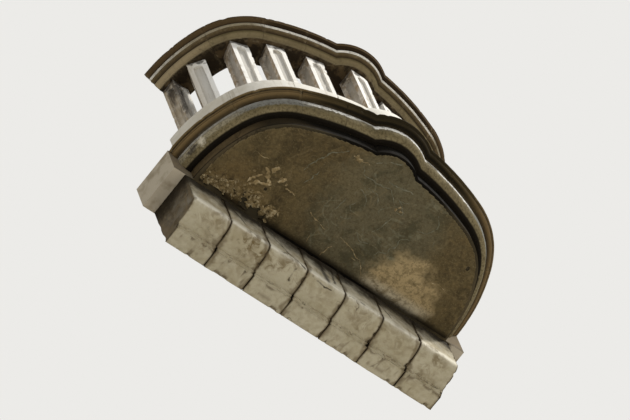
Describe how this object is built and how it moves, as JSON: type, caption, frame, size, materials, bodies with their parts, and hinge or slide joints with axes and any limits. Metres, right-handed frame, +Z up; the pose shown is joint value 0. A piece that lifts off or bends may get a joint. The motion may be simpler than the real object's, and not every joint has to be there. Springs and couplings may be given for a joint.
{
  "type": "stone balcony",
  "caption": "Stone balcony on a curved plan with a middle lobe: moulded slab, plain plinth, square channelled balusters and a moulded rail, over a rounded stone lintel.",
  "frame": {"origin": "middle of the slab's flat back face, at half the slab's thickness", "axes": "+X to the right along the wall as seen from the street, -Y out of the wall over the street, +Z up; the wall face lies at y = -0.25 m"},
  "size_m": [1.83, 1.0257, 1.463],
  "materials": {
    "slab_stone": "rough, sooted and flaking on the underside",
    "floor_mortar": "rough mortar bed, weathered",
    "edge_stone": "rough, sooted, paler on the roll",
    "plinth_stone": "matt, rain washed",
    "baluster_stone": "matt, rain washed and streaked",
    "rail_stone": "rough, sooted",
    "lintel_stone": "matt, weathered, dark joints"
  },
  "bodies": {
    "root": {"slab": "slab_stone", "floor_bed": "floor_mortar", "edge_stone_wall_left": "edge_stone", "edge_stone_shoulder_left": "edge_stone", "edge_stone_front_left": "edge_stone", "edge_stone_wall_right": "edge_stone", "edge_stone_shoulder_right": "edge_stone", "edge_stone_front_right": "edge_stone", "edge_stone_middle": "edge_stone", "plinth_wall_left": "plinth_stone", "plinth_shoulder_left": "plinth_stone", "plinth_front_left": "plinth_stone", "plinth_wall_right": "plinth_stone", "plinth_shoulder_right": "plinth_stone", "plinth_front_right": "plinth_stone", "plinth_middle": "plinth_stone", "rail_wall_left": "rail_stone", "rail_shoulder_left": "rail_stone", "rail_front_left": "rail_stone", "rail_wall_right": "rail_stone", "rail_shoulder_right": "rail_stone", "rail_front_right": "rail_stone", "rail_middle": "rail_stone", "wall_baluster_left": "baluster_stone", "baluster_left_1": "baluster_stone", "baluster_left_2": "baluster_stone", "baluster_left_3": "baluster_stone", "baluster_left_4": "baluster_stone", "wall_baluster_right": "baluster_stone", "baluster_right_1": "baluster_stone", "baluster_right_2": "baluster_stone", "baluster_right_3": "baluster_stone", "baluster_right_4": "baluster_stone", "baluster_middle": "baluster_stone", "lintel_stone_1": "lintel_stone", "lintel_stone_2": "lintel_stone", "lintel_stone_3": "lintel_stone", "lintel_stone_4": "lintel_stone", "lintel_stone_5": "lintel_stone", "lintel_stone_6": "lintel_stone", "lintel_stone_7": "lintel_stone"}
  },
  "joints": []
}
